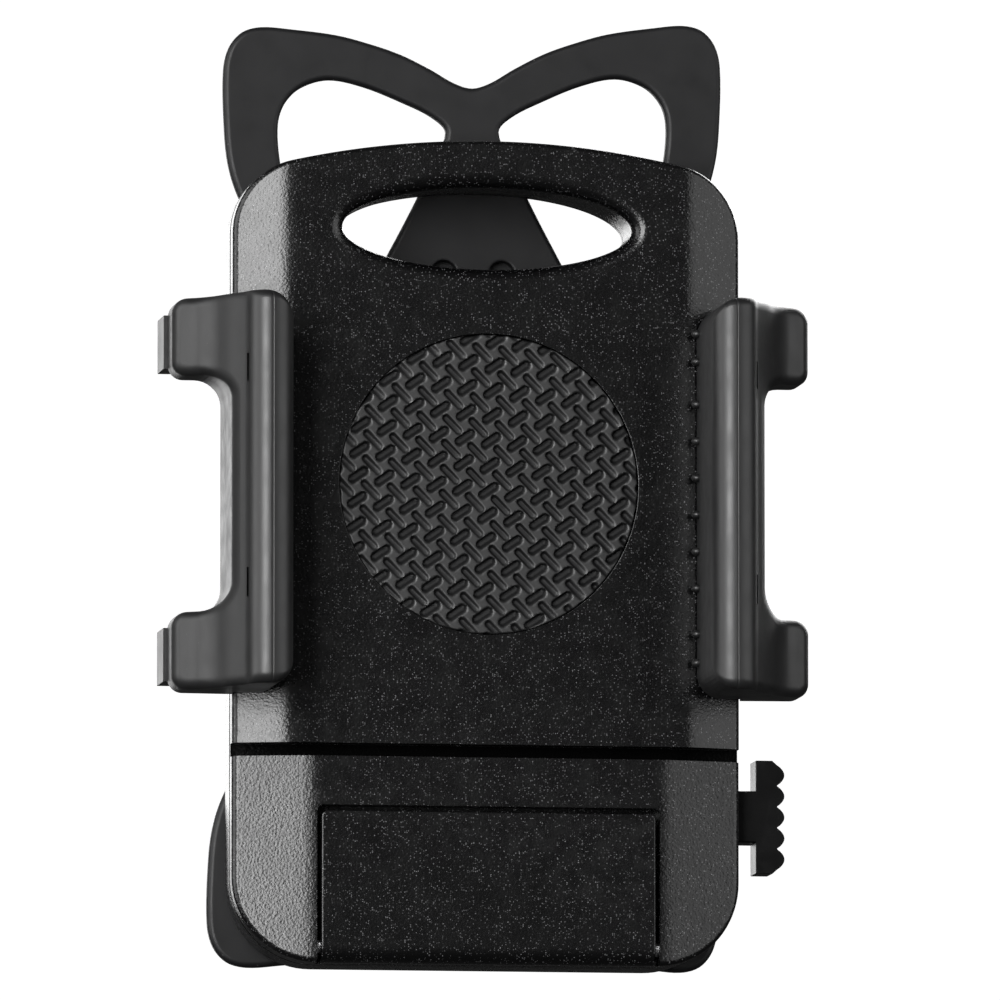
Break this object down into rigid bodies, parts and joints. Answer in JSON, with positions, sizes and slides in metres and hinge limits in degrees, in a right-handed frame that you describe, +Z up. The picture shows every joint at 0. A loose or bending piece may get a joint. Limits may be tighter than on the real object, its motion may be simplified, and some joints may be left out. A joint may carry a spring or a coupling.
{
  "type": "phone handlebar mount",
  "caption": "Handlebar phone holder: cradle with spring jaws, grip pad, fold-out ledge, side release button, silicone X-band, ball joint and screw clamp.",
  "frame": {"origin": "centre of the front face of the round grip pad", "axes": "+X to the right seen from the phone side, -Y towards the phone, +Y towards the handlebar, +Z up; the handlebar runs along X"},
  "size_m": [0.0846, 0.0981, 0.1251],
  "materials": {
    "shell_black": "fine grained black moulded plastic, narrow smooth edges",
    "arm_black": "smooth black moulded plastic",
    "button_black": "satin black moulded plastic",
    "collar_black": "satin black glass-filled nylon",
    "pad_rubber": "matte black rubber with a raised basket tread",
    "jaw_rubber": "soft matte dark grey-black rubber",
    "clamp_rubber": "matte black rubber lining",
    "silicone": "smooth matte black silicone",
    "black_alloy": "black powder-coated aluminium",
    "pin_steel": "turned steel",
    "screw_steel": "black oxide steel",
    "spring_steel": "spring steel",
    "brass_insert": "turned brass",
    "acetal": "natural white acetal"
  },
  "bodies": {
    "clamp": {"clamp_frame": "black_alloy", "saddle_liner": "clamp_rubber", "thread_insert": "brass_insert"},
    "clamp_pad": {"pressure_pad": "black_alloy", "pad_liner": "clamp_rubber"},
    "clamp_spindle": {"clamp_screw": "pin_steel", "clamp_knob": "collar_black"},
    "stem": {"ball_stem": "black_alloy", "stem_washer": "pin_steel", "stem_screw": "screw_steel"},
    "liner": {"ball_liner": "acetal"},
    "cradle": {"front_cover": "shell_black", "rear_cover": "shell_black", "grip_pad": "pad_rubber", "ledge_hinge_pin": "pin_steel", "pinion_axle": "pin_steel", "opening_spring": "spring_steel", "button_spring": "spring_steel", "pawl_pin": "pin_steel", "pawl_spring": "spring_steel", "case_screw_1": "screw_steel", "case_screw_2": "screw_steel", "case_screw_3": "screw_steel", "case_screw_4": "screw_steel", "silicone_band": "silicone", "ball_socket": "arm_black", "socket_screw_1": "screw_steel", "socket_screw_2": "screw_steel", "socket_screw_3": "screw_steel", "socket_screw_4": "screw_steel"},
    "collar": {"locking_collar": "collar_black"},
    "left_arm": {"left_jaw": "arm_black", "left_jaw_cap": "jaw_rubber"},
    "right_arm": {"right_jaw": "arm_black", "right_jaw_cap": "jaw_rubber"},
    "pinion": {"drive_pinion": "acetal"},
    "button": {"release_button": "button_black"},
    "pawl": {"pawl_lever": "acetal"},
    "ledge": {"support_ledge": "shell_black"}
  },
  "joints": [
    {"name": "clamp_pad_slide", "type": "slide", "parent": "clamp", "child": "clamp_pad", "axis": [0, 0, 1], "range_m": [-0.00701, 0.00801]},
    {"name": "clamp_screw_spin", "type": "hinge", "parent": "clamp_pad", "child": "clamp_spindle", "pos_m": [0, 0.066, -0.03], "axis": [0, 0, 1], "range_deg": [-2520, 2880]},
    {"name": "clamp_swivel", "type": "hinge", "parent": "clamp", "child": "stem", "pos_m": [0, 0.045, -0.0022], "axis": [0, 1, 0], "continuous": true},
    {"name": "ball_tilt", "type": "hinge", "parent": "stem", "child": "liner", "pos_m": [0, 0.0268, -0.0022], "axis": [1, 0, 0], "range_deg": [-20, 20]},
    {"name": "ball_pan", "type": "hinge", "parent": "liner", "child": "cradle", "pos_m": [0, 0.0268, -0.0022], "axis": [0, 0, 1], "range_deg": [-20, 20]},
    {"name": "collar_turn", "type": "hinge", "parent": "cradle", "child": "collar", "pos_m": [0, 0.0268, -0.0022], "axis": [0, 1, 0], "range_deg": [0, 180]},
    {"name": "left_jaw_slide", "type": "slide", "parent": "cradle", "child": "left_arm", "axis": [-1, 0, 0], "range_m": [0, 0.017]},
    {"name": "right_jaw_slide", "type": "slide", "parent": "cradle", "child": "right_arm", "axis": [1, 0, 0], "range_m": [0, 0.017]},
    {"name": "pinion_spin", "type": "hinge", "parent": "cradle", "child": "pinion", "pos_m": [0, 0.0073, -0.0022], "axis": [0, -1, 0], "range_deg": [0, 162.5]},
    {"name": "button_press", "type": "slide", "parent": "cradle", "child": "button", "axis": [-1, 0, 0], "range_m": [0, 0.0026], "stiffness_N_per_m": 250, "deforming": ["button_spring"]},
    {"name": "pawl_turn", "type": "hinge", "parent": "cradle", "child": "pawl", "pos_m": [0.012, 0.0075, -0.035], "axis": [0, 1, 0], "range_deg": [0, 19.5]},
    {"name": "ledge_fold", "type": "hinge", "parent": "cradle", "child": "ledge", "pos_m": [0, 0.0023, -0.0603], "axis": [1, 0, 0], "range_deg": [0, 90]}
  ],
  "couplings": [
    {"joint": "clamp_pad_slide", "follows": "clamp_screw_spin", "m_per_rad": 0.00015915},
    {"joint": "right_jaw_slide", "follows": "left_jaw_slide", "ratio": 1},
    {"joint": "pinion_spin", "follows": "left_jaw_slide", "rad_per_m": 166.67},
    {"joint": "pawl_turn", "follows": "button_press", "rad_per_m": 130}
  ]
}
